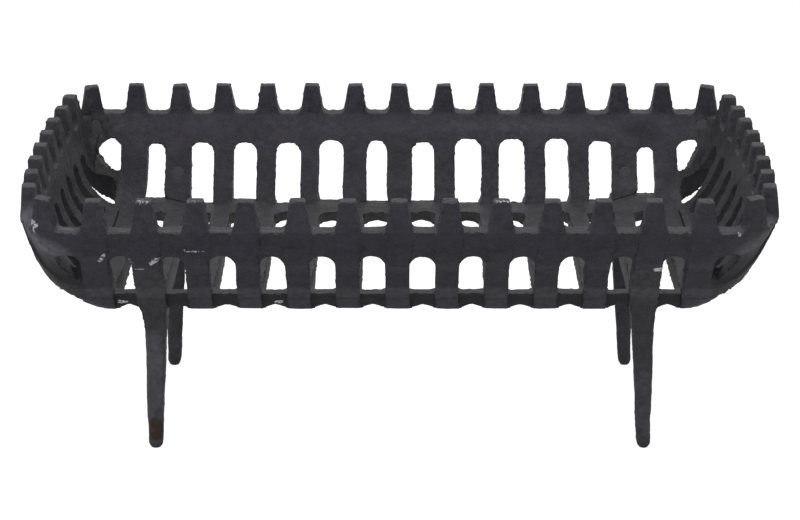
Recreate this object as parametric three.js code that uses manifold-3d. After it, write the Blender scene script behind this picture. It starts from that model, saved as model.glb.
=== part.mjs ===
// A cast-iron log grate: a trough with a toothed rim, four side castings round a slotted
// bottom grate, on four tapered legs. Millimetres, +Z up, the origin on the ground under
// the middle, X along the length, the front at -Y.
import * as THREE from 'three';
import { mergeVertices } from 'three/addons/utils/BufferGeometryUtils.js';
import Module from 'manifold-3d';

const wasm = await Module();
wasm.setup();

// ---------------------------------------------------------------- driving dimensions

// Heights.
const FLOOR_TOP = 108.3;            // top of the bottom grate above the ground
const WALL_HEIGHT = 52;             // floor to the ledge between the teeth
const TOOTH_HEIGHT = 18.6;
const RIB_DROP = 16.8;              // floor top down to the underside of the bars
const LONG_BAND_HEIGHT = 17.6;      // rim band of the front and back, above the slots
const END_BAND_HEIGHT = 12.5;
const STRIP_THICKNESS = 8.6;        // edge strip of the bottom grate at an arch's crown
const ARCH_RISE = 6.2;

// Plan at the rim, to the outer faces.
const RIM_HALF_LENGTH = 227.6;
const RIM_HALF_WIDTH = 131.4;
const CORNER_RADIUS = 30.8;
const END_BOW = 4.8;                // how far the middle of an end stands out at the rim

// Long walls, front and back.
const LONG_LEAN = 34.9;             // how far the outer face comes in from rim to floor
const LONG_RIM_WALL = 12.9;
const LONG_FLOOR_WALL = 11.8;
const FOOT_REACH = 28.3;            // how far a rib's curved foot runs in under the floor
const LONG_RIBS = 13;
const LAST_RIB_FROM_RIM = 51.2;     // middle of the last rib, in from the end of the rim
const RIB_WIDTH = 13.8;
const LEG_RIB_WIDTH = 16.8;
const LAST_RIB_EXTRA = 2.2;         // the last rib is this much wider, towards the end
const LEG_RIB_FROM_MIDDLE = 5;      // a leg hangs on the fifth rib from the middle one
const RELIEF = 1.6;                 // the band lies this far behind the rib faces
const BAND_END_FROM_RIM = 12;       // the band's end on the corner, in from the rim's end
const BAND_END_ROUNDING = 14.6;     // along X, where its lower edge curves up to the rim

// End walls: how far the curved faces come in and where they land.
const END_RIM_WALL = 12.7;
const END_CURVE_TOP_IN = 11;
const END_CURVE_TOP_DOWN = 25;
const END_CURVE_FOOT_IN = 12;
const END_CURVE_FOOT_DOWN = 61.8;
const END_UNDERSIDE_IN = 64.7;
const END_INNER_TOP_IN = 5.1;
const END_INNER_TOP_DOWN = 22.2;
const END_INNER_FOOT_IN = 12.9;
const END_INNER_FOOT_DOWN = 50.7;
const END_INNER_FLOOR_IN = 35.9;
const END_RIBS = 8;
const END_LAST_RIB_FROM_RIM = 34.45;
const END_RIB_WIDTH = 13.2;

// Corner radii in plan lower down.
const UNDERSIDE_CORNER_RADIUS = 12;
const FLOOR_CORNER_RADIUS = 15;

// Teeth.
const TOOTH_TIP_WIDTH = 9.2;
const TOOTH_BASE_WIDTH = 15;
const TOOTH_FLARE = 2.4;            // fillet at the foot of a tooth
const TOOTH_TIP_WALL = 7.7;
const TOOTH_OUTER_LEAN = 1.8;       // how far a tooth's outer face comes in to its tip
const CORNER_TOOTH_ANGLE = 29;      // its place, degrees round the corner from the long wall
const CORNER_TOOTH_TURN = 10;       // and how far it is turned from the other teeth

// Bottom grate.
const STRIP_EDGE_IN = 7;            // the strip's outer top edge, behind the rib faces
const STRIP_EDGE_LEAN = 5.5;        // how far that face comes in to its foot
const STRIP_FACE_HEIGHT = 10.4;
const BAR_WIDTH = 12.4;
const FLOOR_SLOT_FRONT_MARGIN = 15.7;   // a slot's front end, in from the rib faces
const FLOOR_SLOT_BACK_MARGIN = 30.7;    // its back end at the floor's top
const FLOOR_SLOT_BACK_UNDERCUT = 18;    // how far that end slopes out to the underside
const FLOOR_SLOT_CORNER = 3.5;

// Legs.
const LEG_HEAD_HEIGHT = 23.6;       // top of a leg's head above the floor
const LEG_HEAD_WALL = 5.8;
const LEG_TOP_WIDTH = 13.8;
const LEG_TOP_DEPTH = 12.6;
const FOOT_WIDTH = 8.4;
const FOOT_DEPTH = 8.6;
const FOOT_ROUNDING = 3;
const LEG_TOP_OUT = 5.2;            // centre of a leg's top, out from the rib's flat foot
const FOOT_OUT = 0.8;               // the same for its foot on the ground
const LEG_SPLAY = 4.1;              // how far a foot stands out from its rib, along X

// Joints between the castings.
const FIT_GAP = 0.3;
const SEAM_FROM_RIM = 43.35;        // upright seam beside an end, in from the rim's end
const GRATE_LEDGE_REACH = 4.8;      // the grate's ledge under an end's foot
const GRATE_LEDGE_DOWN = 5.7;
const GRATE_LEDGE_ROOT = 1;         // how far the ledge runs back into the grate's body
const CORNER_SEAM_ANGLE = 50;
const CORNER_SEAM_DEPTH = 12.4;     // how far below the slots' top the wall's corner reaches
const TONGUE_START_ANGLE = 12;
const TONGUE_OUTER_COVER = 6.6;     // thickness of the long wall in front of a tongue
const TONGUE_TOP_DOWN = 3.5;
const RIVET_RADIUS = 2.9;
const RIVET_HEAD_RADIUS = 4.4;
const RIVET_HEAD_HEIGHT = 1.6;
const RIVET_SINK = 0.3;
const CORNER_RIVET_ANGLE = 36;
const CORNER_RIVET_DOWN = 8.4;
const LEG_RIVET_DOWN = 37;

// Slot ends.
const SLOT_TOP_ROUNDING = 0.4;      // corner radius, as a share of the slot's width
const END_SLOT_MARGIN = 6.35;       // from the seam out to the end slots' inner ends
const LAST_END_SLOT_MARGIN = 3;     // the same for the two outermost slots
const END_SLOT_ROUNDING = 4.6;
const END_SLOT_FAN = 4;             // the outermost slots widen this much to their feet
const END_SLOT_FAN_IN = 2.5;        // and this much on the side towards the middle
const END_SLOT_FAN_FROM = 8;        // above the floor, where that widening is whole
const END_SLOT_FAN_TO = 30;         // and where it has died out
const CORNER_SLOT_LENGTH = 15;      // the corner opening, along X from the last rib
const CORNER_SLOT_RISE = 1.5;       // its top climbs towards the end
const CORNER_SLOT_DEPTH = 21;       // its height beside the rib
const CORNER_SLOT_IN = 34.4;        // how far in from the rim it cuts, front to back

// Facets.
const CORNER_STEPS = 5;
const BOW_STEPS = 3;
const END_LEVELS = 6;
const ARC_STEPS = 2;
const RIVET_SIDES = 12;
const MERGE_DISTANCE = 1e-4;
const HALVINGS = 40;                // of a curve, to find where it passes a height

// Finishes.
const WALL_IRON = 0x2d2c2f;
const END_IRON = 0x2b2b2d;
const FLOOR_IRON = 0x2f2e30;
const LEG_IRON = 0x2e2c2e;
const FILED_RIVET = 0x3c3a3a;
const CAST_ROUGHNESS = 0.8;
const FILED_ROUGHNESS = 0.6;

// ---------------------------------------------------------------- derived places

const RIM = FLOOR_TOP + WALL_HEIGHT;
const TIP = RIM + TOOTH_HEIGHT;
const UNDERSIDE = FLOOR_TOP - RIB_DROP;
const OUTSIDE = RIM_HALF_LENGTH + RIM_HALF_WIDTH;   // a reach past every face
const LONG_SLOT_TOP = RIM - LONG_BAND_HEIGHT;
const END_SLOT_TOP = RIM - END_BAND_HEIGHT;
const HOOK_TOP = FLOOR_TOP - STRIP_FACE_HEIGHT;
const FLOOR_HALF_WIDTH = RIM_HALF_WIDTH - LONG_LEAN;
const UNDERSIDE_HALF_WIDTH = FLOOR_HALF_WIDTH - FOOT_REACH;
const STRIP_EDGE_HALF_WIDTH = FLOOR_HALF_WIDTH - STRIP_EDGE_IN;
const FLOOR_SLOT_FRONT = -(FLOOR_HALF_WIDTH - FLOOR_SLOT_FRONT_MARGIN);
const FLOOR_SLOT_BACK = FLOOR_HALF_WIDTH - FLOOR_SLOT_BACK_MARGIN;
const SEAM_HALF_LENGTH = RIM_HALF_LENGTH - SEAM_FROM_RIM;
const LONG_PITCH = ((RIM_HALF_LENGTH - LAST_RIB_FROM_RIM) * 2) / (LONG_RIBS - 1);
const END_PITCH = ((RIM_HALF_WIDTH - END_LAST_RIB_FROM_RIM) * 2) / (END_RIBS - 1);
const CORNER_X = RIM_HALF_LENGTH - END_BOW - CORNER_RADIUS;
const CORNER_Y = RIM_HALF_WIDTH - CORNER_RADIUS;
const LEG_X = LEG_RIB_FROM_MIDDLE * LONG_PITCH;

// Rib places along the long walls, each with its own width.
const longRibs = Array.from({ length: LONG_RIBS }, (_, i) => {
  const step = i - (LONG_RIBS - 1) / 2;
  const width = Math.abs(step) === LEG_RIB_FROM_MIDDLE ? LEG_RIB_WIDTH : RIB_WIDTH;
  return { at: step * LONG_PITCH, width };
});
const LAST_RIB_SIDE = longRibs.at(-1).at + longRibs.at(-1).width / 2 + LAST_RIB_EXTRA;
const endRibs = Array.from({ length: END_RIBS }, (_, i) => {
  return { at: (i - (END_RIBS - 1) / 2) * END_PITCH, width: END_RIB_WIDTH };
});

// ---------------------------------------------------------------- solids and geometry

function toSolid(geometry) {
  const bare = geometry.clone();
  bare.deleteAttribute('normal');
  bare.deleteAttribute('uv');
  const merged = mergeVertices(bare, MERGE_DISTANCE);
  return new wasm.Manifold(new wasm.Mesh({
    numProp: 3,
    vertProperties: new Float32Array(merged.attributes.position.array),
    triVerts: new Uint32Array(merged.index.array),
  }));
}

function toGeometry(solid) {
  const mesh = solid.getMesh();
  const geometry = new THREE.BufferGeometry();
  geometry.setAttribute('position', new THREE.BufferAttribute(mesh.vertProperties, 3));
  geometry.setIndex(new THREE.BufferAttribute(mesh.triVerts, 1));
  geometry.computeVertexNormals();
  return geometry;
}

const join = (solids) => solids.reduce((whole, solid) => whole.add(solid));

// A mirror image, with its faces turned to point out again.
function mirrored(geometry, alongX, alongY) {
  const copy = geometry.clone();
  copy.scale(alongX, alongY, 1);
  if (alongX * alongY < 0) {
    const index = copy.index.array;
    for (let i = 0; i < index.length; i += 3) {
      [index[i], index[i + 1]] = [index[i + 1], index[i]];
    }
  }
  copy.computeVertexNormals();
  return copy;
}

// ---------------------------------------------------------------- prisms along an axis

const polygon = (points) => new THREE.Shape(points.map(([u, v]) => new THREE.Vector2(u, v)));

function extrusion(shape, depth) {
  return new THREE.ExtrudeGeometry(shape, {
    depth, steps: 1, bevelEnabled: false, curveSegments: ARC_STEPS,
  });
}

// The shape lies in X and Z.
function prismAlongY(shape, from, to) {
  return toSolid(extrusion(shape, to - from).rotateX(Math.PI / 2).translate(0, to, 0));
}

// The shape lies in Y and Z.
function prismAlongX(shape, from, to) {
  const geometry = extrusion(shape, to - from).rotateX(Math.PI / 2).rotateZ(Math.PI / 2);
  return toSolid(geometry.translate(from, 0, 0));
}

// The shape lies in X and Y.
function prismAlongZ(shape, from, to) {
  return toSolid(extrusion(shape, to - from).translate(0, 0, from));
}

function box(x0, x1, y0, y1, z0, z1) {
  const geometry = new THREE.BoxGeometry(x1 - x0, y1 - y0, z1 - z0);
  return toSolid(geometry.translate((x0 + x1) / 2, (y0 + y1) / 2, (z0 + z1) / 2));
}

// A slot outline with two round corners at its top.
function roundTopped(left, right, bottom, top) {
  const radius = (right - left) * SLOT_TOP_ROUNDING;
  const shape = new THREE.Shape();
  shape.moveTo(left, bottom);
  shape.lineTo(right, bottom);
  shape.lineTo(right, top - radius);
  shape.absarc(right - radius, top - radius, radius, 0, Math.PI / 2, false);
  shape.absarc(left + radius, top - radius, radius, Math.PI / 2, Math.PI, false);
  shape.closePath();
  return shape;
}

// ---------------------------------------------------------------- the basket's bowl

// One level of the bowl: a rectangle with round corners and bowed ends.
function planRing({ length, width, radius, bow, height }) {
  const centreX = length - bow - radius;
  const centreY = width - radius;
  const quarter = [];
  for (let i = 0; i < BOW_STEPS; i += 1) {
    const y = (centreY * i) / BOW_STEPS;
    quarter.push([length - bow * (y / centreY) ** 2, y]);
  }
  for (let i = 0; i <= CORNER_STEPS; i += 1) {
    const angle = ((Math.PI / 2) * i) / CORNER_STEPS;
    quarter.push([centreX + radius * Math.cos(angle), centreY + radius * Math.sin(angle)]);
  }
  const back = quarter.map(([x, y]) => [-x, y]).reverse();
  const front = [...quarter, ...back];
  const rest = front.slice(1, -1).map(([x, y]) => [x, -y]).reverse();
  return [...front, ...rest].map(([x, y]) => [x, y, height]);
}

// A closed body through rings of equal count, from the lowest ring to the highest.
function loft(rings) {
  const count = rings[0].length;
  const index = [];
  for (let level = 0; level + 1 < rings.length; level += 1) {
    for (let i = 0; i < count; i += 1) {
      const a = level * count + i;
      const b = level * count + ((i + 1) % count);
      index.push(a, b, b + count, a, b + count, a + count);
    }
  }
  const top = (rings.length - 1) * count;
  for (let i = 1; i + 1 < count; i += 1) {
    index.push(0, i + 1, i, top, top + i, top + i + 1);
  }
  const geometry = new THREE.BufferGeometry();
  const positions = new Float32Array(rings.flat(2));
  geometry.setAttribute('position', new THREE.BufferAttribute(positions, 3));
  geometry.setIndex(index);
  return toSolid(geometry);
}

// A level rectangle with cut corners, as a ring for a loft.
function cutCornered(x, y, halfX, halfY, cut, height) {
  return [
    [halfX, cut - halfY], [halfX, halfY - cut], [halfX - cut, halfY], [cut - halfX, halfY],
    [-halfX, halfY - cut], [-halfX, cut - halfY], [cut - halfX, -halfY], [halfX - cut, -halfY],
  ].map(([u, v]) => [x + u, y + v, height]);
}

// The value of a falling curve (x out, y up) where it passes a height.
function outAtHeight(curve, height) {
  let low = 0;
  let high = 1;
  for (let i = 0; i < HALVINGS; i += 1) {
    const middle = (low + high) / 2;
    if (curve.getPoint(middle).y > height) low = middle;
    else high = middle;
  }
  return curve.getPoint((low + high) / 2).x;
}

const point = (out, height) => new THREE.Vector2(out, height);
const mix = (from, to, share) => from + (to - from) * share;

const LONG_SLOPE = LONG_LEAN / WALL_HEIGHT;

const longFoot = new THREE.QuadraticBezierCurve(
  point(FLOOR_HALF_WIDTH, FLOOR_TOP),
  point(FLOOR_HALF_WIDTH - LONG_SLOPE * RIB_DROP, UNDERSIDE),
  point(UNDERSIDE_HALF_WIDTH, UNDERSIDE),
);
const endOuter = new THREE.CubicBezierCurve(
  point(RIM_HALF_LENGTH, RIM),
  point(RIM_HALF_LENGTH - END_CURVE_TOP_IN, RIM - END_CURVE_TOP_DOWN),
  point(RIM_HALF_LENGTH - END_CURVE_FOOT_IN, RIM - END_CURVE_FOOT_DOWN),
  point(RIM_HALF_LENGTH - END_UNDERSIDE_IN, UNDERSIDE),
);
const END_INNER_RIM = RIM_HALF_LENGTH - END_RIM_WALL;
const endInner = new THREE.CubicBezierCurve(
  point(END_INNER_RIM, RIM),
  point(END_INNER_RIM - END_INNER_TOP_IN, RIM - END_INNER_TOP_DOWN),
  point(END_INNER_RIM - END_INNER_FOOT_IN, RIM - END_INNER_FOOT_DOWN),
  point(END_INNER_RIM - END_INNER_FLOOR_IN, FLOOR_TOP),
);

// Half width to the outer face of the long walls' ribs at a height up to the rim.
function longOuterAt(height) {
  if (height >= FLOOR_TOP) return RIM_HALF_WIDTH - LONG_SLOPE * (RIM - height);
  return outAtHeight(longFoot, height);
}

function longInnerAt(height) {
  const share = (RIM - height) / WALL_HEIGHT;
  return longOuterAt(height) - mix(LONG_RIM_WALL, LONG_FLOOR_WALL, share);
}

const tipOuter = {
  length: RIM_HALF_LENGTH - TOOTH_OUTER_LEAN,
  width: RIM_HALF_WIDTH - TOOTH_OUTER_LEAN,
  radius: CORNER_RADIUS - TOOTH_OUTER_LEAN,
  bow: END_BOW,
  height: TIP,
};
const tipInner = {
  length: tipOuter.length - TOOTH_TIP_WALL,
  width: tipOuter.width - TOOTH_TIP_WALL,
  radius: tipOuter.radius - TOOTH_TIP_WALL,
  bow: END_BOW,
  height: TIP,
};

// The ends bow out at the rim and run straight at the underside.
const bowAt = (height) => mix(END_BOW, 0, (RIM - height) / (RIM - UNDERSIDE));

// The bowl's outer surface at a height, set in by a wall thickness.
function outerLevel(height, inset) {
  const share = (RIM - height) / (RIM - UNDERSIDE);
  return {
    length: outAtHeight(endOuter, height) - inset,
    width: longOuterAt(height) - inset,
    radius: mix(CORNER_RADIUS, UNDERSIDE_CORNER_RADIUS, share) - inset,
    bow: bowAt(height),
    height,
  };
}

function innerLevel(height) {
  const share = (RIM - height) / WALL_HEIGHT;
  return {
    length: outAtHeight(endInner, height),
    width: longInnerAt(height),
    radius: mix(CORNER_RADIUS - LONG_RIM_WALL, FLOOR_CORNER_RADIUS, share),
    bow: bowAt(height),
    height,
  };
}

// Heights that follow a falling curve evenly, lowest first.
function heightsAlong(curve) {
  return Array.from({ length: END_LEVELS + 1 }, (_, i) => curve.getPoint(1 - i / END_LEVELS).y);
}

function outerBowl(inset) {
  return loft(heightsAlong(endOuter).map((height) => planRing(outerLevel(height, inset))));
}

function innerBowl() {
  const rings = heightsAlong(endInner).map((height) => planRing(innerLevel(height)));
  return loft([...rings, planRing({ ...innerLevel(RIM), height: RIM + FIT_GAP })]);
}

// ---------------------------------------------------------------- teeth

function toothShape() {
  const base = TOOTH_BASE_WIDTH / 2;
  const tip = TOOTH_TIP_WIDTH / 2;
  const flare = base + TOOTH_FLARE;
  const shape = new THREE.Shape();
  shape.moveTo(-flare, RIM - TOOTH_FLARE);
  shape.lineTo(flare, RIM - TOOTH_FLARE);
  shape.lineTo(flare, RIM);
  shape.quadraticCurveTo(base, RIM, mix(base, tip, TOOTH_FLARE / TOOTH_HEIGHT), RIM + TOOTH_FLARE);
  shape.lineTo(tip, TIP);
  shape.lineTo(-tip, TIP);
  shape.lineTo(-mix(base, tip, TOOTH_FLARE / TOOTH_HEIGHT), RIM + TOOTH_FLARE);
  shape.quadraticCurveTo(-base, RIM, -flare, RIM);
  shape.closePath();
  return shape;
}

// The ring that the teeth are cut from stands on the rim and narrows to its top.
function toothRing() {
  const low = RIM - TOOTH_FLARE;
  const outer = loft([
    planRing(outerLevel(low, 0)), planRing(outerLevel(RIM, 0)), planRing(tipOuter),
  ]);
  const inner = loft([
    planRing(innerLevel(low)), planRing(innerLevel(RIM)), planRing(tipInner),
  ]);
  return outer.subtract(inner);
}

// A tooth-shaped prism, turned round Z and moved to its place.
function toothCutter(x, y, turn) {
  const geometry = extrusion(toothShape(), CORNER_RADIUS * 2);
  geometry.rotateX(Math.PI / 2).translate(0, CORNER_RADIUS, 0);
  return toSolid(geometry.rotateZ(turn).translate(x, y, 0));
}

const radians = THREE.MathUtils.degToRad;

// A place on the front left corner's arc, at an angle from the long wall's face.
function onCorner(angle, reach) {
  return [-CORNER_X - Math.sin(angle) * reach, -CORNER_Y - Math.cos(angle) * reach];
}

function longTeeth(ring) {
  const cutters = longRibs.map(({ at }) => toothCutter(at, -RIM_HALF_WIDTH, 0));
  const angle = radians(CORNER_TOOTH_ANGLE);
  const [x, y] = onCorner(angle, CORNER_RADIUS);
  const turn = radians(CORNER_TOOTH_TURN);
  cutters.push(toothCutter(x, y, -turn), toothCutter(-x, y, turn));
  return ring.intersect(join(cutters));
}

function endTeeth(ring) {
  const cutters = endRibs.map(({ at }) => toothCutter(-RIM_HALF_LENGTH, at, Math.PI / 2));
  return ring.intersect(join(cutters));
}

// ---------------------------------------------------------------- openings and relief

const gapsBetween = (ribs) => ribs.slice(1).map((rib, i) => ({
  left: ribs[i].at + ribs[i].width / 2,
  right: rib.at - rib.width / 2,
  middle: (ribs[i].at + rib.at) / 2,
}));

const stripFace = [
  [STRIP_EDGE_HALF_WIDTH, FLOOR_TOP],
  [STRIP_EDGE_HALF_WIDTH - STRIP_EDGE_LEAN, HOOK_TOP],
];
const STRIP_FOOT = FLOOR_TOP - STRIP_THICKNESS - ARCH_RISE;

// Half of the recessed outline between the ribs, from the rim down to the strip's foot.
const recessedSide = [
  [longOuterAt(RIM) - RELIEF, RIM],
  [longOuterAt(LONG_SLOT_TOP) - RELIEF, LONG_SLOT_TOP],
  ...stripFace,
  [stripFace[1][0] - STRIP_EDGE_LEAN / 2, STRIP_FOOT],
];

// What is taken off the outside between the long walls' ribs.
function longRelief() {
  const outline = [
    ...recessedSide.map(([y, z]) => [-y, z]),
    ...recessedSide.map(([y, z]) => [y, z]).reverse(),
  ];
  const kept = prismAlongX(polygon(outline), -OUTSIDE, OUTSIDE);
  const gaps = gapsBetween(longRibs).map(({ left, right }) => {
    return box(left, right, -OUTSIDE, OUTSIDE, 0, RIM);
  });
  return join(gaps).subtract(kept);
}

function endRelief() {
  const gaps = gapsBetween(endRibs).map(({ left, right }) => {
    return box(-OUTSIDE, -SEAM_HALF_LENGTH, left, right, 0, RIM);
  });
  return join(gaps).subtract(outerBowl(RELIEF));
}

// What is taken off the outside of the front left corner, below and beside the band's end.
function cornerRelief() {
  const bandEnd = BAND_END_FROM_RIM - RIM_HALF_LENGTH;
  const straightEnd = bandEnd + BAND_END_ROUNDING;
  const shape = new THREE.Shape();
  shape.moveTo(-OUTSIDE, 0);
  shape.lineTo(-LAST_RIB_SIDE, 0);
  shape.lineTo(-LAST_RIB_SIDE, LONG_SLOT_TOP);
  shape.lineTo(straightEnd, LONG_SLOT_TOP);
  shape.absellipse(straightEnd, RIM, BAND_END_ROUNDING, LONG_BAND_HEIGHT,
    Math.PI * 1.5, Math.PI, true);
  shape.lineTo(-OUTSIDE, RIM);
  shape.closePath();
  const lastEndRib = endRibs[END_RIBS - 1];
  const fromY = lastEndRib.at + lastEndRib.width / 2;
  return prismAlongY(shape, -OUTSIDE, -fromY).subtract(outerBowl(RELIEF));
}

function longSlots() {
  const slots = gapsBetween(longRibs).flatMap(({ left, right }) => {
    const shape = roundTopped(left, right, FLOOR_TOP, LONG_SLOT_TOP);
    return [prismAlongY(shape, -OUTSIDE, 0), prismAlongY(shape, 0, OUTSIDE)];
  });
  return join(slots);
}

// The strip's lower edge rises in a low arch between two ribs.
function stripArches() {
  const arches = gapsBetween(longRibs).map(({ left, right, middle }) => {
    const shape = new THREE.Shape();
    shape.moveTo(left, 0);
    shape.lineTo(right, 0);
    shape.lineTo(right, STRIP_FOOT);
    shape.absellipse(middle, STRIP_FOOT, (right - left) / 2, ARCH_RISE, 0, Math.PI, false);
    shape.closePath();
    return prismAlongY(shape, -OUTSIDE, OUTSIDE);
  });
  return join(arches);
}

// Slots between the floor's bars, upright in front and undercut at the back.
function floorSlots() {
  const half = (LONG_PITCH - BAR_WIDTH) / 2;
  const slots = gapsBetween(longRibs).map(({ middle }) => {
    const ring = (back, height) => {
      const centre = (back + FLOOR_SLOT_FRONT) / 2;
      const reach = (back - FLOOR_SLOT_FRONT) / 2;
      return cutCornered(middle, centre, half, reach, FLOOR_SLOT_CORNER, height);
    };
    return loft([
      ring(FLOOR_SLOT_BACK + FLOOR_SLOT_BACK_UNDERCUT, UNDERSIDE - FIT_GAP),
      ring(FLOOR_SLOT_BACK, FLOOR_TOP + FIT_GAP),
    ]);
  });
  return join(slots);
}

// The two outermost end slots widen at their feet, most towards the corners.
function widenedFoot({ left, right }) {
  const corner = left > 0 ? 1 : -1;
  return {
    low: left - (corner > 0 ? END_SLOT_FAN_IN : END_SLOT_FAN),
    high: right + (corner > 0 ? END_SLOT_FAN : END_SLOT_FAN_IN),
  };
}

function slotFan(gap) {
  const from = FLOOR_TOP + END_SLOT_FAN_FROM;
  const to = FLOOR_TOP + END_SLOT_FAN_TO;
  const { low, high } = widenedFoot(gap);
  const outline = [[low, 0], [high, 0], [high, from], [gap.right, to], [gap.left, to], [low, from]];
  return prismAlongX(polygon(outline), -OUTSIDE, 0);
}

// Slots in the left end run along X, round the curve and up to the end's band.
function endSlots() {
  const gaps = gapsBetween(endRibs);
  const slots = gaps.map((gap, i) => {
    const { left, right } = gap;
    const outermost = i === 0 || i === gaps.length - 1;
    const rise = prismAlongX(roundTopped(left, right, 0, END_SLOT_TOP), -OUTSIDE, 0);
    const { low, high } = outermost ? widenedFoot(gap) : { low: left, high: right };
    const start = SEAM_HALF_LENGTH + (outermost ? LAST_END_SLOT_MARGIN : END_SLOT_MARGIN);
    const round = -start - END_SLOT_ROUNDING;
    const plan = new THREE.Shape();
    plan.moveTo(-OUTSIDE, low);
    plan.absarc(round, low + END_SLOT_ROUNDING, END_SLOT_ROUNDING,
      Math.PI * 1.5, Math.PI * 2, false);
    plan.absarc(round, high - END_SLOT_ROUNDING, END_SLOT_ROUNDING, 0, Math.PI / 2, false);
    plan.lineTo(-OUTSIDE, high);
    plan.closePath();
    const whole = outermost ? rise.add(slotFan(gap)) : rise;
    return whole.intersect(prismAlongZ(plan, 0, RIM));
  });
  return join(slots);
}

// The opening at a front corner, between the last rib and the end's first rib.
function cornerOpening(side) {
  const inner = LAST_RIB_SIDE;
  const top = LONG_SLOT_TOP;
  const round = CORNER_SLOT_LENGTH / 4;
  const outline = [
    [inner, top - CORNER_SLOT_DEPTH], [inner, top - round], [inner + round, top],
    [inner + CORNER_SLOT_LENGTH - round, top + CORNER_SLOT_RISE],
    [inner + CORNER_SLOT_LENGTH, top + CORNER_SLOT_RISE - round],
    [inner + round, top - CORNER_SLOT_DEPTH],
  ];
  const shape = polygon(outline.map(([x, z]) => [side * x, z]));
  return prismAlongY(shape, -OUTSIDE, CORNER_SLOT_IN - RIM_HALF_WIDTH);
}

// ---------------------------------------------------------------- seams

// Everything that belongs to the bottom grate, grown by a clearance.
function grateSpace(grow) {
  const edge = STRIP_EDGE_HALF_WIDTH + grow;
  const foot = stripFace[1][0] + grow;
  const bar = UNDERSIDE_HALF_WIDTH + grow;
  const hook = HOOK_TOP - grow;
  const low = UNDERSIDE - FIT_GAP;
  const side = [[edge, FLOOR_TOP + grow], [edge, FLOOR_TOP], [foot, hook], [bar, hook], [bar, low]];
  const outline = [...side, ...side.map(([y, z]) => [-y, z]).reverse()];
  const length = SEAM_HALF_LENGTH - FIT_GAP / 2 + grow;
  const tip = length + GRATE_LEDGE_REACH;
  const root = SEAM_HALF_LENGTH - GRATE_LEDGE_ROOT - grow;
  const ledgeTop = FLOOR_TOP - GRATE_LEDGE_DOWN + grow;
  const main = prismAlongX(polygon(outline), -length, length);
  const left = box(-tip, -root, -foot, foot, low, ledgeTop);
  const right = box(root, tip, -foot, foot, low, ledgeTop);
  return join([main, left, right]);
}

// The long wall's own part of the front left corner, in plan, grown by a clearance.
function cornerSpace(grow) {
  const seam = radians(CORNER_SEAM_ANGLE);
  const along = [-Math.sin(seam), -Math.cos(seam)];
  const out = [-Math.cos(seam) * grow, Math.sin(seam) * grow];
  const start = [-CORNER_X + out[0], -CORNER_Y + out[1]];
  const far = [start[0] + along[0] * CORNER_RADIUS * 2, start[1] + along[1] * CORNER_RADIUS * 2];
  const inner = -SEAM_HALF_LENGTH + CORNER_RADIUS;
  const shape = polygon([
    start, [inner, start[1]], [inner, -OUTSIDE], [far[0], -OUTSIDE], far,
  ]);
  return prismAlongZ(shape, LONG_SLOT_TOP - CORNER_SEAM_DEPTH, TIP + grow);
}

// The tongue that an end casting carries behind the long wall's corner.
function tongueSpace(grow) {
  const from = radians(TONGUE_START_ANGLE);
  const to = radians(CORNER_SEAM_ANGLE);
  const reach = CORNER_RADIUS * 2;
  const slip = [Math.cos(from) * grow, -Math.sin(from) * grow];
  const near = [-CORNER_X - Math.sin(from) * reach, -CORNER_Y - Math.cos(from) * reach];
  const past = [Math.cos(to) * FIT_GAP * 2, -Math.sin(to) * FIT_GAP * 2];
  const far = [-CORNER_X - Math.sin(to) * reach, -CORNER_Y - Math.cos(to) * reach];
  const shape = polygon([
    [-CORNER_X + slip[0], -CORNER_Y + slip[1] + grow * 2],
    [near[0] + slip[0], near[1] + slip[1]],
    [far[0] - past[0], far[1] - past[1]],
    [-CORNER_X - past[0], -CORNER_Y - past[1]],
  ]);
  const sector = prismAlongZ(shape, UNDERSIDE, RIM - TONGUE_TOP_DOWN + grow);
  return sector.intersect(outerBowl(TONGUE_OUTER_COVER - grow));
}

// A leg's head takes the outer half of its rib, and the whole rib below the floor.
function legHeadSpace(grow) {
  const cover = LEG_HEAD_WALL + grow;
  const top = FLOOR_TOP + LEG_HEAD_HEIGHT + grow;
  const low = FLOOR_TOP + FIT_GAP * 2 + grow;
  const outline = [
    [-OUTSIDE, top], [-longOuterAt(top) + cover, top], [-longOuterAt(low) + cover, low],
    [0, low], [0, 0], [-OUTSIDE, 0],
  ];
  const half = LEG_RIB_WIDTH / 2 + grow;
  const head = prismAlongX(polygon(outline), -LEG_X - half, -LEG_X + half);
  const foot = LONG_PITCH / 2;
  return head.add(box(-LEG_X - foot, -LEG_X + foot, -OUTSIDE, 0, 0, HOOK_TOP + grow));
}

// ---------------------------------------------------------------- rivets

// A countersunk rivet along Z, about its middle, or the hole for one.
function rivetGeometry(length, grow, past) {
  const half = length / 2;
  const neck = half - RIVET_HEAD_HEIGHT;
  const profile = [
    [0, -half - past], [RIVET_HEAD_RADIUS + grow, -half - past], [RIVET_HEAD_RADIUS + grow, -half],
    [RIVET_RADIUS + grow, -neck], [RIVET_RADIUS + grow, neck],
    [RIVET_HEAD_RADIUS + grow, half], [RIVET_HEAD_RADIUS + grow, half + past], [0, half + past],
  ];
  const outline = past > 0 ? profile : profile.filter((_, i) => i !== 1 && i !== 6);
  return new THREE.LatheGeometry(outline.map(([r, z]) => new THREE.Vector2(r, z)), RIVET_SIDES)
    .rotateX(Math.PI / 2);
}

// Where a rivet sits: its middle, the way out of the wall, and the wall's thickness.
function seat(x, y, outward, slope, wall) {
  const tilt = Math.atan(slope);
  const flat = Math.cos(tilt);
  return {
    middle: new THREE.Vector3(x, y, outward.z),
    axis: new THREE.Vector3(outward.x * flat, outward.y * flat, -Math.sin(tilt)),
    length: wall * flat - RIVET_SINK * 2,
  };
}

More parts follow.
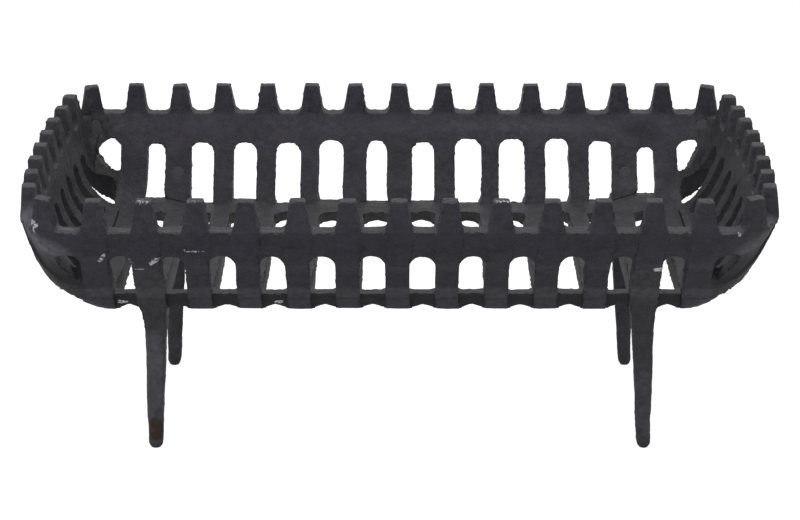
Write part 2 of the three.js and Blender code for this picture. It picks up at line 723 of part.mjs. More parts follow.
function legRivetSeat() {
  const height = RIM - LEG_RIVET_DOWN;
  const outer = longOuterAt(height);
  const inner = longInnerAt(height);
  const outward = new THREE.Vector3(0, -1, height);
  return seat(-LEG_X, -(outer + inner) / 2, outward, LONG_SLOPE, outer - inner);
}

// On the corner the two walls' slopes add up along the way out.
function cornerRivetSeat() {
  const angle = radians(CORNER_RIVET_ANGLE);
  const height = RIM - CORNER_RIVET_DOWN;
  const outer = outerLevel(height, 0);
  const rim = outerLevel(RIM, 0);
  const sine = Math.sin(angle);
  const cosine = Math.cos(angle);
  const reach = (level) => (level.length - level.bow - level.radius) * sine
    + (level.width - level.radius) * cosine + level.radius;
  const slope = (reach(rim) - reach(outer)) / CORNER_RIVET_DOWN;
  const middle = outer.radius - LONG_RIM_WALL / 2;
  const x = -(outer.length - outer.bow - outer.radius) - sine * middle;
  const y = -(outer.width - outer.radius) - cosine * middle;
  return seat(x, y, new THREE.Vector3(-sine, -cosine, height), slope, LONG_RIM_WALL);
}

const turnTo = (axis) => new THREE.Quaternion().setFromUnitVectors(new THREE.Vector3(0, 0, 1), axis);

function rivetHole({ middle, axis, length }) {
  const geometry = rivetGeometry(length, FIT_GAP, RIVET_HEAD_RADIUS);
  geometry.applyQuaternion(turnTo(axis)).translate(middle.x, middle.y, middle.z);
  return toSolid(geometry);
}

// ---------------------------------------------------------------- the castings

// A tapered shaft below the rib, from inside its foot down to the ground.
function legShaft() {
  const section = (height, width, depth, cut) => {
    const share = height / HOOK_TOP;
    const x = -LEG_X - mix(LEG_SPLAY, 0, share);
    const y = -UNDERSIDE_HALF_WIDTH - mix(FOOT_OUT, LEG_TOP_OUT, share);
    return cutCornered(x, y, width / 2, depth / 2, cut, height);
  };
  const cut = FOOT_ROUNDING / 2;
  return loft([
    section(0, FOOT_WIDTH - FOOT_ROUNDING, FOOT_DEPTH - FOOT_ROUNDING, cut),
    section(FOOT_ROUNDING, FOOT_WIDTH, FOOT_DEPTH, cut),
    section(HOOK_TOP - FIT_GAP, LEG_TOP_WIDTH, LEG_TOP_DEPTH, cut),
  ]);
}

function castings() {
  const shell = outerBowl(0).subtract(innerBowl());
  const ring = toothRing();
  const body = shell.subtract(join([longRelief(), longSlots(), stripArches(), floorSlots()]));
  const legRivet = legRivetSeat();
  const cornerRivet = cornerRivetSeat();
  const bothEnds = (solid) => solid.add(toSolid(mirrored(toGeometry(solid), -1, 1)));
  const bothSides = (solid) => solid.add(toSolid(mirrored(toGeometry(solid), 1, -1)));

  // The front wall, with the outer half of its two corners.
  const seam = SEAM_HALF_LENGTH - FIT_GAP / 2;
  const place = box(-seam, seam, -OUTSIDE, 0, 0, TIP).add(bothEnds(cornerSpace(0)));
  const wallHoles = join([rivetHole(legRivet), rivetHole(cornerRivet)]);
  const wallRooms = join([legHeadSpace(FIT_GAP), tongueSpace(FIT_GAP), wallHoles]);
  const corner = cornerOpening(-1).add(cornerRelief());
  const wall = body.subtract(bothEnds(corner))
    .add(longTeeth(ring))
    .intersect(place)
    .subtract(grateSpace(FIT_GAP))
    .subtract(bothEnds(wallRooms));

  // The left end, with its tongues behind the corners of both long walls.
  const leftSide = box(-OUTSIDE, -seam - FIT_GAP, -OUTSIDE, OUTSIDE, 0, TIP);
  const bare = body.subtract(bothSides(corner));
  const end = bare.subtract(join([endSlots(), endRelief()]))
    .add(endTeeth(ring))
    .intersect(leftSide)
    .subtract(bothSides(cornerSpace(FIT_GAP)).add(grateSpace(FIT_GAP)))
    .add(bothSides(bare.intersect(tongueSpace(0))))
    .subtract(bothSides(rivetHole(cornerRivet)));

  // The bottom grate.
  const grate = body.intersect(grateSpace(0));

  // The front left leg: its head is cut from the rib that it takes the place of.
  const head = body.intersect(legHeadSpace(0)).subtract(grateSpace(FIT_GAP));
  const headAndShaft = head.add(legShaft().subtract(grateSpace(FIT_GAP)));
  const leg = headAndShaft.subtract(rivetHole(legRivet));

  return { wall, end, grate, leg, legRivet, cornerRivet };
}

// ---------------------------------------------------------------- the scene graph

const METALNESS = 0.6;
const iron = (color, roughness = CAST_ROUGHNESS) => new THREE.MeshStandardMaterial({
  color, roughness, metalness: METALNESS,
});

const grateGroup = new THREE.Group();

function addPiece(parent, name, geometry, material) {
  const mesh = new THREE.Mesh(geometry, material);
  mesh.name = name;
  parent.add(mesh);
  return mesh;
}

function addRivet(name, seatOf, alongX, alongY) {
  const geometry = rivetGeometry(seatOf.length, 0, 0);
  const mesh = addPiece(grateGroup, name, geometry, iron(FILED_RIVET, FILED_ROUGHNESS));
  const flipped = new THREE.Vector3(alongX, alongY, 1);
  mesh.position.copy(seatOf.middle).multiply(flipped);
  mesh.quaternion.copy(turnTo(seatOf.axis.clone().multiply(flipped)));
}

const made = castings();
const wallGeometry = toGeometry(made.wall);
const endGeometry = toGeometry(made.end);
const legGeometry = toGeometry(made.leg);

addPiece(grateGroup, 'bottom_grate', toGeometry(made.grate), iron(FLOOR_IRON));
addPiece(grateGroup, 'front_wall', wallGeometry, iron(WALL_IRON));
addPiece(grateGroup, 'back_wall', mirrored(wallGeometry, 1, -1), iron(WALL_IRON));
addPiece(grateGroup, 'left_end', endGeometry, iron(END_IRON));
addPiece(grateGroup, 'right_end', mirrored(endGeometry, -1, 1), iron(END_IRON));

const corners = [
  ['front_left', 1, 1], ['front_right', -1, 1], ['back_left', 1, -1], ['back_right', -1, -1],
];
for (const [place, alongX, alongY] of corners) {
  const leg = mirrored(legGeometry, alongX, alongY);
  addPiece(grateGroup, `${place}_leg`, leg, iron(LEG_IRON));
  addRivet(`${place}_leg_rivet`, made.legRivet, alongX, alongY);
  addRivet(`${place}_corner_rivet`, made.cornerRivet, alongX, alongY);
}

export default grateGroup;
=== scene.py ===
"""Looks of a black cast-iron log grate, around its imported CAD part. Metres, +Z up."""

import math

import bmesh
import bpy
import numpy as np
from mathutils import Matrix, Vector
from mathutils.bvhtree import BVHTree
from mathutils.kdtree import KDTree


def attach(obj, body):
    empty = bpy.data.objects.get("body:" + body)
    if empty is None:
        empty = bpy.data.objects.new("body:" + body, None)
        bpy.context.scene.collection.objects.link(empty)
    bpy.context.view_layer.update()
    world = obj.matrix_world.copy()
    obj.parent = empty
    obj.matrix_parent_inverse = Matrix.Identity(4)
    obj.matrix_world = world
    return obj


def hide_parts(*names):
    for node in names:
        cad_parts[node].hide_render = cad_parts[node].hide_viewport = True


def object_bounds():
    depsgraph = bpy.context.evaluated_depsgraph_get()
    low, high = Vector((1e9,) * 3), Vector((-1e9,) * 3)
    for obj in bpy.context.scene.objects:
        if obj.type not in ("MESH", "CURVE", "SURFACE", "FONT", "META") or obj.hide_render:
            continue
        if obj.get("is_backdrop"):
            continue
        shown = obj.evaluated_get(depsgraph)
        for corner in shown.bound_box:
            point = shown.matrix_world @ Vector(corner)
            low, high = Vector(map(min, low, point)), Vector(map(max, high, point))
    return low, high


bl_info = {
    "name": "Cast-iron log grate",
    "version": (1, 0, 0),
    "blender": (4, 5, 0),
    "location": "3D View > Sidebar > Log Grate",
    "description": "Sand-cast surfaces, filed rivets and a studio stage for a log grate",
    "category": "Object",
}

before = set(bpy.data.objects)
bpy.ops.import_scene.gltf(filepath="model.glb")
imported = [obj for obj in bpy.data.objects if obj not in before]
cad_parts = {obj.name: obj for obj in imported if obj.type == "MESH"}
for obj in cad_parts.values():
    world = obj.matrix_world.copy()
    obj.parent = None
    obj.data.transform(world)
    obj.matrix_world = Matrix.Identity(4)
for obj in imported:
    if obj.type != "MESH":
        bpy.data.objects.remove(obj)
CAD_LOW, CAD_HIGH = (np.array(corner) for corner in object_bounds())

MM = 0.001
BODY = "root"

# The castings and the record's material slot that each takes its finish from.
CASTINGS = {
    "bottom_grate": "cast_iron_floor",
    "front_wall": "cast_iron_walls",
    "back_wall": "cast_iron_walls",
    "left_end": "cast_iron_ends",
    "right_end": "cast_iron_ends",
    "front_left_leg": "cast_iron_legs",
    "front_right_leg": "cast_iron_legs",
    "back_left_leg": "cast_iron_legs",
    "back_right_leg": "cast_iron_legs",
}
RIVETS = [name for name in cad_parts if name.endswith("_rivet")]

# How each finish's red, green and blue stand to the blacked iron's. These tones are painted
# light, lit and shaded copies of one iron: the legs are lightened most, against the shade the
# basket casts on them, the ends are lightened too, and the walls are tinted violet, part their
# own tint and part a painted cold sheen.
PAINTED_LIGHT_TONES = {
    "cast_iron_floor": (1.02, 1.02, 1.03),
    "cast_iron_walls": (1.0, 0.98, 1.1),
    "cast_iron_ends": (1.15, 1.15, 1.17),
    "cast_iron_legs": (1.34, 1.34, 1.3),
}

SHARP = math.radians(35)    # CAD edges that turn more than this are real edges
SNAP = 0.86                 # a corner this near a sharp edge goes on to it, in mesh cells
STEP_SNAP = 1.7             # and from this far, where the mesh still steps across the edge
SEAM_GAP = 1.0 * MM         # gaps between two castings up to this wide are closed
SEAM_PULL = 0.6             # by this share of the gap from each side
PITCH = 29.4 * MM           # from rib to rib along the long walls
SLOTS = 12                  # whole openings between the ribs of a long wall
HALF_SLOT = 7.8 * MM
HALF_FOOT = 6.9 * MM        # half the width of a rib's foot
CORNER_SLOT = (185.5 * MM, 200.5 * MM)
RIM = 160.3 * MM            # the height of the bands' upper edge
BAND_HEIGHT = 17.6 * MM
BAND_STRAIGHT = 201 * MM    # where a band's lower edge begins to curve up
BAND_ROUNDING = 14.6 * MM   # and how far on it meets the rim
LEG_X = 5 * PITCH
RIVET_SINK = 0.3 * MM       # how far a CAD rivet's heads lie below the castings' faces

# The side of the web in front of a leg's top, in millimetres: how far out, how high, and
# half its width there.
LEG_WEB = ((72, 80, 6.3), (79.4, 79, 6.3), (88.6, 99, 8.2), (84, 101, 8.2), (72, 99, 8.2))

# How far the edges of each opening of the back wall stray from an even pitch, from the
# left corner to the right one, in millimetres: its left and right edge, its top and sill.
BACK_OPENINGS = (
    (-1.3, 0.0, 3.4, 0.0),
    (1.3, -0.7, 0.0, 2.7),
    (-0.7, 0.7, 0.7, -0.7),
    (0.0, 0.0, 0.7, 1.4),
    (-1.3, 0.0, 0.7, -0.7),
    (-2.0, -1.3, 2.0, 1.4),
    (0.7, -1.3, 2.0, 0.0),
    (1.3, 0.7, 0.7, 0.7),
    (0.7, 2.7, 3.2, -0.7),
    (0.7, 2.7, 3.2, -0.7),
    (2.0, 2.7, 3.2, 0.0),
    (2.0, 3.3, 2.0, 1.4),
    (3.3, 0.7, -2.7, 6.0),
    (0.0, 1.3, 1.4, 0.0),
)

# How far the front wall's openings lie to the left, how low their tops hang in the middle
# and how much lower still at the ribs, and how far the basket's ends lie to the left.
FRONT_SHIFT = 1.25 * MM
FRONT_HANG = 1.0 * MM
FRONT_HANG_AT_RIBS = 1.9 * MM
ENDS_SHIFT = 1.9 * MM

# How much lower the left end's slots begin, from front to back, in millimetres: at, by.
LEFT_END_DROPS = ((-83, 1.0), (-55, 3.0), (28, 3.5), (83, 6.0))

FOOT_ROUNDING = 1.7 * MM    # how much higher a rib's foot is at its sides than in its middle

# The lengths of the uneven spots along the cast edges and over the cast faces, and how
# strong the spots of each length are.
EDGE_BREAKS = ((2.9 * MM, 1.0), (7 * MM, 0.7))
FACE_LUMPS = ((12 * MM, 1.0), (5 * MM, 0.5))
WANDER_LENGTH = 34 * MM

# Bright spots, as strokes: start, end and reach in millimetres, and how bare they are. A spot's
# two ends are one place. Those on the tooth tops, 179 mm high, are painted glints of the light
# from above; the rest are where the black is thin or gone.
FILED_AND_GLINTS = (
    ((-212, -123, 164.5), (-209.7, -125, 163.5), 2.6, 1.05),
    ((-211.5, -123.4, 161), (-211.4, -123.4, 158.5), 1.8, 1.0),
    ((196, -129.9, 159.0), (196, -129.9, 159.0), 2.6, 0.9),
    ((-174.6, -118, 140.5), (-171.8, -121.5, 145.5), 2.8, 1.1),
    ((-145, -116.5, 138), (-141.5, -119, 141.8), 3.2, 1.1),
    ((-158, -117, 139), (-149, -117, 140), 2.6, 0.85),
    ((-154.5, -112.8, 132.6), (-150, -113, 133), 1.4, 1.15),
    ((151, -112, 132), (156, -112, 133), 3.0, 1.2),
    ((-124, -122.8, 147.3), (-113, -122.8, 147.5), 1.9, 1.2),
    ((-94, -123, 147.7), (-92, -123, 147.8), 1.0, 0.9),
    ((-86.5, -122.8, 147.4), (-83.5, -122.8, 147.5), 1.6, 1.1),
    ((-152, -128, 179), (-146, -128, 179), 3.5, 0.82),
    ((-176, -124, 160), (-170, -124, 160), 1.5, 0.9),
    ((-122, -128, 179), (-116, -128, 179), 2.5, 0.8),
    ((56, -128, 179), (62, -128, 179), 2.5, 0.9),
    ((-31, 129, 179), (-27, 129, 179), 2.5, 0.8),
    ((-168, -86, 102), (-164, -86, 102), 2.0, 1.0),
    ((-74, -86, 102), (-70, -86, 102), 2.0, 1.0),
    ((-151, -76, 60), (-151, -76, 60), 1.0, 1.4),
)

# Where the black is painted lighter grey: painted highlights on the lit front corners, along the
# band's top edge and on the front sill's lit top, and the lower front legs painted lighter.
PAINTED_LIGHTER_STROKES = (
    ((-214, -108, 158), (-203, -116, 146), 13.0, 1.0),
    ((212, -110, 156), (204, -116, 147), 11.0, 0.7),
    ((-150, -76, 10), (-150, -76, 75), 9.0, 0.5),
    ((150, -76, 10), (150, -76, 45), 9.0, 0.3),
    ((-206, -118, 161), (-190, -124, 161), 3.0, 0.6),
    ((-160, -126, 160), (-60, -126, 160), 2.0, 0.4),
    ((-190, -99.1, 112.2), (190, -99.1, 112.2), 6.0, 0.35),
)

# Rust where the black wore off the feet.
RUSTED = (
    ((-150, -74, 10), (-150, -74, 17), 6.0, 1.0),
    ((150, -74, 4), (150, -74, 7), 3.5, 0.6),
)
PAINTED_SHADE_DEPTH = 0.6                  # how dark the painted shade lies in the hollows

# Of these colours, the lighter grey paints highlights, the shade black paints shade in the
# recesses, and the bare iron also paints glints on the tooth tops.
PAINTED_LIGHTER_GREY = "#7c7c82"
EDGE_GREY = "#57575a"
PAINTED_SHADE_BLACK = "#1e1e1f"
RUST_BROWN = "#46332b"
BARE_IRON_AND_GLINT = "#d6d5da"
FILED_GREY = "#504f54"
POLISH_IOR = 1.33           # stove polish is waxy graphite, and mirrors little

FLOOR_REACH = 4.0
FLOOR_GLOW = 0.93           # what the camera sees the floor give off by itself
MIRRORED_GLOW = 0.4         # and what the iron's reflections see
SURROUND = 0.55             # how bright the surround is as a lamp
LAMP_AIM = (0, 0, 0.1)
LAMPS = (                   # name, place, size, watts and colour
    ("overhead_softbox", (0.25, 0.2, 1.5), (1.6, 1.2), 8.0, "#fffdfa"),
    ("front_fill", (-0.7, -1.6, 0.65), (1.2, 1.0), 5.0, "#e2deff"),
)

# The camera, as the pitch of the front and the back row of teeth in the photograph gives it.
CAMERA_PLACE = (0, -1.4885, 0.6217)
CAMERA_DOWN = math.radians(19.4)
CAMERA_LENS = 112.1         # millimetres, on a sensor 36 mm wide
CAMERA_SHIFT = (0.0008, 0.0011)


class LogGrateSettings(bpy.types.PropertyGroup):
    """Sizes and colours of the grate's finish and of its stage."""

    cell: bpy.props.FloatProperty(
        name="Mesh cell", description="Edge length of the castings' mesh",
        default=1.1 * MM, min=0.5 * MM, unit="LENGTH", precision=5)
    rivet_cell: bpy.props.FloatProperty(
        name="Rivet mesh cell", description="Edge length of the rivets' mesh",
        default=0.5 * MM, min=0.2 * MM, unit="LENGTH", precision=5)
    rounding: bpy.props.IntProperty(
        name="Rounding passes", description="How often the cast edges are smoothed",
        default=2, min=0, max=40)
    seam_reach: bpy.props.FloatProperty(
        name="Seam reach", description="Faces this near another casting stay as they were fitted",
        default=1.2 * MM, unit="LENGTH", precision=5)
    wander: bpy.props.FloatProperty(
        name="Pattern wander", description="How far the pattern's long edges stray from true",
        default=0.16 * MM, unit="LENGTH", precision=5)
    ragged: bpy.props.FloatProperty(
        name="Ragged edges", description="How far the cast edges break from a smooth line",
        default=0.3 * MM, unit="LENGTH", precision=5)
    lumps: bpy.props.FloatProperty(
        name="Mould lumps", description="Height of the lumps that a sand mould leaves",
        default=0.06 * MM, unit="LENGTH", precision=5)
    iron: bpy.props.FloatVectorProperty(
        name="Blacked iron", description="Colour of the blacked cast surface",
        subtype="COLOR", size=3, min=0, max=1, default=(0.047, 0.0455, 0.05))
    floor_tone: bpy.props.FloatVectorProperty(
        name="Stage floor", description="Colour of the studio floor",
        subtype="COLOR", size=3, min=0, max=1, default=(0.36, 0.36, 0.36))


# ------------------------------------------------------------------ meshes


def waves(points, length, seed, count=26):
    """A smooth random field of about unit size, from plane waves of about that length."""
    random = np.random.default_rng(seed)
    ways = random.normal(size=(count, 3))
    ways /= np.linalg.norm(ways, axis=1, keepdims=True)
    ways *= 2 * math.pi / (length * random.uniform(0.7, 1.4, (count, 1)))
    phases = random.uniform(0, 2 * math.pi, count)
    return np.sin(points @ ways.T + phases).sum(axis=1) * math.sqrt(2 / count)


def layered(points, layers, seeds):
    """The sum of some waves, each of a length and with a share."""
    return sum(share * waves(points, length, seed)
               for (length, share), seed in zip(layers, seeds))


def leg_web(name):
    """The web in front of a leg's top, which widens into the rib's foot: (corners, faces)."""
    side = -1 if "left" in name else 1
    front = -1 if "front" in name else 1
    corners = [
        Vector((side * LEG_X + across * half * MM, front * y * MM, z * MM))
        for across in (-1, 1) for y, z, half in LEG_WEB]
    count = len(LEG_WEB)
    ring = [(i, (i + 1) % count, count + (i + 1) % count, count + i) for i in range(count)]
    faces = [tuple(range(count))[::-1], tuple(range(count, 2 * count)), *ring]
    return corners, faces if front < 0 else [face[::-1] for face in faces]


def flush(corners):
    """A rivet's corners with both its heads hammered out level with the castings."""
    points = np.array(corners)
    apart = points - (points.max(axis=0) + points.min(axis=0)) / 2
    axis = np.linalg.eigh(apart.T @ apart)[1][:, -1]
    along = apart @ axis
    heads = abs(along) > abs(along).max() - RIVET_SINK / 3
    lift = np.where(heads, RIVET_SINK, 0) * np.sign(along)
    return [Vector(point) for point in points + lift[:, None] * axis]


def shape_of(name):
    """The corners and faces that a piece is made from: its CAD node, with a rivet's heads
    hammered out, and with a leg's web."""
    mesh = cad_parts[name].data
    corners = [vertex.co.copy() for vertex in mesh.vertices]
    faces = [tuple(face.vertices) for face in mesh.polygons]
    if name in RIVETS:
        corners = flush(corners)
    if name.endswith("_leg"):
        more, sides = leg_web(name)
        faces += [tuple(len(corners) + i for i in side) for side in sides]
        corners += more
    return corners, faces


def surface_of(names):
    """A search tree over the faces of some pieces."""
    corners, faces = [], []
    for name in names:
        more, sides = shape_of(name)
        faces += [tuple(len(corners) + i for i in side) for side in sides]
        corners += more
    return BVHTree.FromPolygons(corners, faces)


def remeshed(name, cell):
    """An even quad mesh over one piece: (corner array, quad list)."""
    mesh = bpy.data.meshes.new("even_" + name)
    corners, faces = shape_of(name)
    mesh.from_pydata(corners, [], faces)
    source = bpy.data.objects.new("even_" + name, mesh)
    bpy.context.scene.collection.objects.link(source)
    grid = source.modifiers.new("even", "REMESH")
    grid.mode = "VOXEL"
    grid.voxel_size = cell
    even = source.evaluated_get(bpy.context.evaluated_depsgraph_get()).to_mesh()
    corners = np.empty(len(even.vertices) * 3, np.float32)
    even.vertices.foreach_get("co", corners)
    quads = [tuple(face.vertices) for face in even.polygons]
    bpy.data.objects.remove(source)
    return corners.reshape(-1, 3).astype(float), quads


def edge_ends(quads):
    """Both ends of every edge, each way round."""
    ends = np.array([(quad[i - 1], quad[i]) for quad in quads for i in range(len(quad))])
    return np.concatenate([ends, ends[:, ::-1]])


def averaged(values, ends, count):
    """Each corner's mean over its neighbours."""
    sums = [np.bincount(ends[:, 0], values[ends[:, 1], axis], count) for axis in range(3)]
    number = np.maximum(np.bincount(ends[:, 0], minlength=count), 1)
    return np.stack(sums, axis=1) / number[:, None]


def ramp(values, low, high):
    """0 up to low and 1 from high on, or the other way round where low is the greater."""
    share = np.clip((values - low) / (high - low), 0, 1)
    return share * share * (3 - 2 * share)


def within(values, start, full, fading, end):
    """0 up to start, 1 from full to fading and 0 again from end on, all in millimetres."""
    return ramp(values, start * MM, full * MM) * ramp(values, end * MM, fading * MM)


def from_rib(x):
    """How far each x lies from the nearest rib's middle."""
    return abs(x / PITCH - np.round(x / PITCH)) * PITCH


def sharp_edges(name, step):
    """A search tree of points along one piece's sharp edges."""
    mesh = bpy.data.meshes.new("edges_" + name)
    corners, faces = shape_of(name)
    mesh.from_pydata(corners, [], faces)
    shape = bmesh.new()
    shape.from_mesh(mesh)
    bpy.data.meshes.remove(mesh)
    bmesh.ops.remove_doubles(shape, verts=shape.verts, dist=0.001 * MM)
    points = []
    for edge in shape.edges:
        if len(edge.link_faces) == 2 and edge.calc_face_angle() > SHARP:
            start, end = (vertex.co.copy() for vertex in edge.verts)
            count = max(1, round(edge.calc_length() / step))
            points += [start.lerp(end, i / count) for i in range(count + 1)]
    shape.free()
    tree = KDTree(len(points))
    for i, point in enumerate(points):
        tree.insert(point, i)
    tree.balance()
    return tree


def fitted(points, ends, name, cell):
    """Points moved on to the piece's faces, those near a sharp edge on to that edge, and
    which ones those are. Where the mesh still steps across a sharp edge, the nearer end goes
    on to it too."""
    faces = surface_of([name])
    edges = sharp_edges(name, cell / 4)
    moved, facing, on_line = (np.empty_like(points) for _ in range(3))
    far = np.empty(len(points))
    for i, point in enumerate(points):
        on_line[i], _, far[i] = edges.find(Vector(point))
        moved[i], facing[i] = faces.find_nearest(Vector(point))[:2]
    on_edge = far < SNAP * cell
    a, b = ends.T
    steps = ((facing[a] * facing[b]).sum(axis=1) < math.cos(SHARP)) & ~on_edge[a] & ~on_edge[b]
    nearer = np.where(far[a] < far[b], a, b)[steps]
    on_edge[nearer[far[nearer] < STEP_SNAP * cell]] = True
    moved[on_edge] = on_line[on_edge]
    return moved, on_edge


def to_neighbours(points, others, reach):
    """The way from each point to the pieces next to it, and its length, up to a reach."""
    tree = surface_of(others)
    way = np.zeros_like(points)
    far = np.full(len(points), reach)
    for i, point in enumerate(points):
        hit = tree.find_nearest(Vector(point), reach)
        if hit[0] is not None:
            way[i] = np.array(hit[0]) - point
            far[i] = hit[3]
    return way, far


def normals_of(points, quads):
    mesh = bpy.data.meshes.new("normals")
    mesh.from_pydata(points.tolist(), [], quads)
    out = np.empty(len(points) * 3, np.float32)
    mesh.vertex_normals.foreach_get("vector", out)
    bpy.data.meshes.remove(mesh)
    return out.reshape(-1, 3)


def opening_edges():
    """Where the openings' edges lie along X, from the left corner to the right one."""
    middles = (np.arange(SLOTS) - (SLOTS - 1) / 2) * PITCH
    slots = np.stack([middles - HALF_SLOT, middles + HALF_SLOT], axis=1).ravel()
    near, far = CORNER_SLOT
    return np.concatenate([[-far, -near], slots, [near, far]])


def back_strays(points):
    """The back wall's openings, each a little off its place."""
    x, y, z = points.T
    edges = opening_edges()
    table = np.array(BACK_OPENINGS) * MM
    sideways = np.interp(x, edges, table[:, :2].ravel(), left=0, right=0)
    top = np.interp(x, edges, np.repeat(table[:, 2], 2), left=0, right=0)
    sill = np.interp(x, edges, np.repeat(table[:, 3], 2), left=0, right=0)
    wall = ramp(y, 66 * MM, 80 * MM)
    moved = np.zeros_like(points)
    moved[:, 0] = sideways * wall * within(z, 104, 112, 143, 152)
    moved[:, 2] = top * wall * within(z, 126, 141, 146, 158)
    moved[:, 2] += sill * wall * within(z, 103, 107.5, 110, 124)
    return moved


def front_strays(points):
    """The front wall's openings, all a little left and low, and the basket's lower corners."""
    x, y, z = points.T
    wall = ramp(y, -40 * MM, -70 * MM) * ramp(abs(x), 200 * MM, 180 * MM)
    moved = np.zeros_like(points)
    moved[:, 0] = -FRONT_SHIFT * wall * within(z, 86, 108, 143, 152)
    from_slot = abs(x / PITCH - np.floor(x / PITCH) - 0.5) * PITCH
    hang = FRONT_HANG + FRONT_HANG_AT_RIBS * np.clip(from_slot / HALF_SLOT, 0, 1) ** 2
    moved[:, 2] = -hang * wall * within(z, 128, 141, 146, 158)
    ends = ramp(abs(x), 178 * MM, 200 * MM)
    moved[:, 0] -= ENDS_SHIFT * ends * within(z, 86, 98, 115, 165)
    return moved


def end_strays(points):
    """The left end's slots, whose tops hang lower towards the back."""
    x, y, z = points.T
    wall = ramp(x, -190 * MM, -200 * MM)
    moved = np.zeros_like(points)
    drop = np.interp(y, *np.array(LEFT_END_DROPS).T * MM)
    moved[:, 2] = -drop * wall * within(z, 118, 140, 150, 160)
    return moved


def foot_strays(points):
    """The ribs' feet, whose undersides are rounded instead of flat."""
    x, y, z = points.T
    side = np.clip(from_rib(x) / HALF_FOOT, 0, 1) ** 2
    foot = ramp(abs(y), 64 * MM, 72 * MM) * ramp(abs(x), 184 * MM, 180 * MM)
    moved = np.zeros_like(points)
    moved[:, 2] = FOOT_ROUNDING * side * foot * within(z, 84, 89, 92, 98)
    return moved


def wandered(points, settings):
    """The slow strays of a hand-made pattern, the same for every casting that meets there."""
    moved = points + back_strays(points) + front_strays(points) + end_strays(points)
    moved += foot_strays(points)
    for axis, seed in enumerate((11, 23, 37)):
        moved[:, axis] += settings.wander * waves(points, WANDER_LENGTH, seed)
    return moved


def along_surface(shifts, out):
    """What is left of some shifts when they may not leave the surface."""
    return shifts - out * (shifts * out).sum(axis=1)[:, None]


def strokes(points, places):
    """The strength of each of some strokes along its middle, falling to 0 outside it."""
    total = np.zeros(len(points))
    for start, end, reach, strength in places:
        start, end = np.array(start) * MM, np.array(end) * MM
        way = end - start
        share = np.clip((points - start) @ way / max(way @ way, 1e-12), 0, 1)
        far = np.linalg.norm(points - start - share[:, None] * way, axis=1) / (reach * MM)
        total = np.maximum(total, strength * ramp(far, 1.3, 0.5))
    return total


def painted_recess_shade(points):
    """How dark the painted shade lies: in the recesses where shade falls, which are the corners
    beyond the bands' ends and the edge strips between the ribs' feet."""
    x, y, z = points.T
    share = np.clip((abs(x) - BAND_STRAIGHT) / BAND_ROUNDING, 0, 1)
    edge = RIM - BAND_HEIGHT * np.sqrt(1 - share ** 2)
    corner = ramp(abs(x), 185 * MM, 187 * MM) * ramp(z, edge + 0.5 * MM, edge - 1.0 * MM)
    corner *= abs(y) > 103.5 * MM - 0.4 * (RIM - z)    # outside the sloping wall's inner face
    strip = ramp(from_rib(x), 6.6 * MM, 7.6 * MM) * ramp(z, 107.6 * MM, 106.4 * MM)
    strip *= ramp(abs(y), 66 * MM, 72 * MM) * (z > 88 * MM) * (abs(x) < 184 * MM)
    return PAINTED_SHADE_DEPTH * np.maximum(corner, strip)


def cast_mesh(name, others, settings, cell):
    """Corners, quads, how far each corner stood proud before its edges were rounded, and
    which corners lie on a seam's crisp edge."""
    points, quads = remeshed(name, cell)
    ends = edge_ends(quads)
    points, on_edge = fitted(points, ends, name, cell)
    way, far = to_neighbours(points, others, 2 * settings.seam_reach)
    free = np.clip(far / settings.seam_reach - 1, 0, 1)
    points += np.where(far < SEAM_GAP, SEAM_PULL, 0)[:, None] * way
    sharp = points.copy()
    for _ in range(settings.rounding):
        points += 0.5 * free[:, None] * (averaged(points, ends, len(points)) - points)
    out = normals_of(points, quads)
    proud = ((sharp - points) * out).sum(axis=1) / cell
    breaks = np.stack([
        layered(points, EDGE_BREAKS, (seed, seed + 50)) for seed in (61, 62, 63)], axis=1)
    points += (settings.ragged * free)[:, None] * along_surface(breaks, out)
    lumps = layered(points, FACE_LUMPS, (5, 6))
    points += out * (settings.lumps * free * lumps)[:, None]
    return wandered(points, settings), quads, proud, on_edge & (free == 0)


def crease(mesh, crisp):
    """Keeps the shading apart along the mesh edges whose two ends are crisp."""
    ends = np.empty(len(mesh.edges) * 2, np.int32)
    mesh.edges.foreach_get("vertices", ends)
    sharp = np.empty(len(mesh.edges), bool)
    mesh.edges.foreach_get("use_edge_sharp", sharp)
    mesh.edges.foreach_set("use_edge_sharp", sharp | crisp[ends.reshape(-1, 2)].all(axis=1))


def add_piece(name, node, points, quads, crisp, material):
    """An object that stands for a CAD node, kept inside the CAD model's box."""
    mesh = bpy.data.meshes.new(name)
    mesh.from_pydata(np.clip(points, CAD_LOW, CAD_HIGH).tolist(), [], quads)
    mesh.shade_smooth()
    mesh.set_sharp_from_angle(angle=SHARP)
    crease(mesh, crisp)
    mesh.materials.append(material)
    piece = bpy.data.objects.new(name, mesh)
    bpy.context.scene.collection.objects.link(piece)
    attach(piece, BODY)
    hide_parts(node)
    return piece


def mark(piece, attribute, values):
    """Writes one number per corner, which a material reads by the attribute's name."""
    layer = piece.data.attributes.new(attribute, "FLOAT", "POINT")
    layer.data.foreach_set("value", values.astype(np.float32))


# ------------------------------------------------------------------ materials


def linear(hex_colour):
    """An sRGB hex colour as linear red, green, blue and alpha."""
    channels = [int(hex_colour[i:i + 2], 16) / 255 for i in (1, 3, 5)]
    return tuple(
        c / 12.92 if c <= 0.04045 else ((c + 0.055) / 1.055) ** 2.4 for c in channels) + (1,)


def add_node(tree, kind, inputs=None, **settings):
    """A node with its settings, and with each input linked to a socket or set to a value."""
    made = tree.nodes.new(kind)
    for key, value in settings.items():
        setattr(made, key, value)
    for socket, source in (inputs or {}).items():
        if isinstance(source, bpy.types.NodeSocket):
            tree.links.new(source, made.inputs[socket])
        else:
            made.inputs[socket].default_value = source
    return made


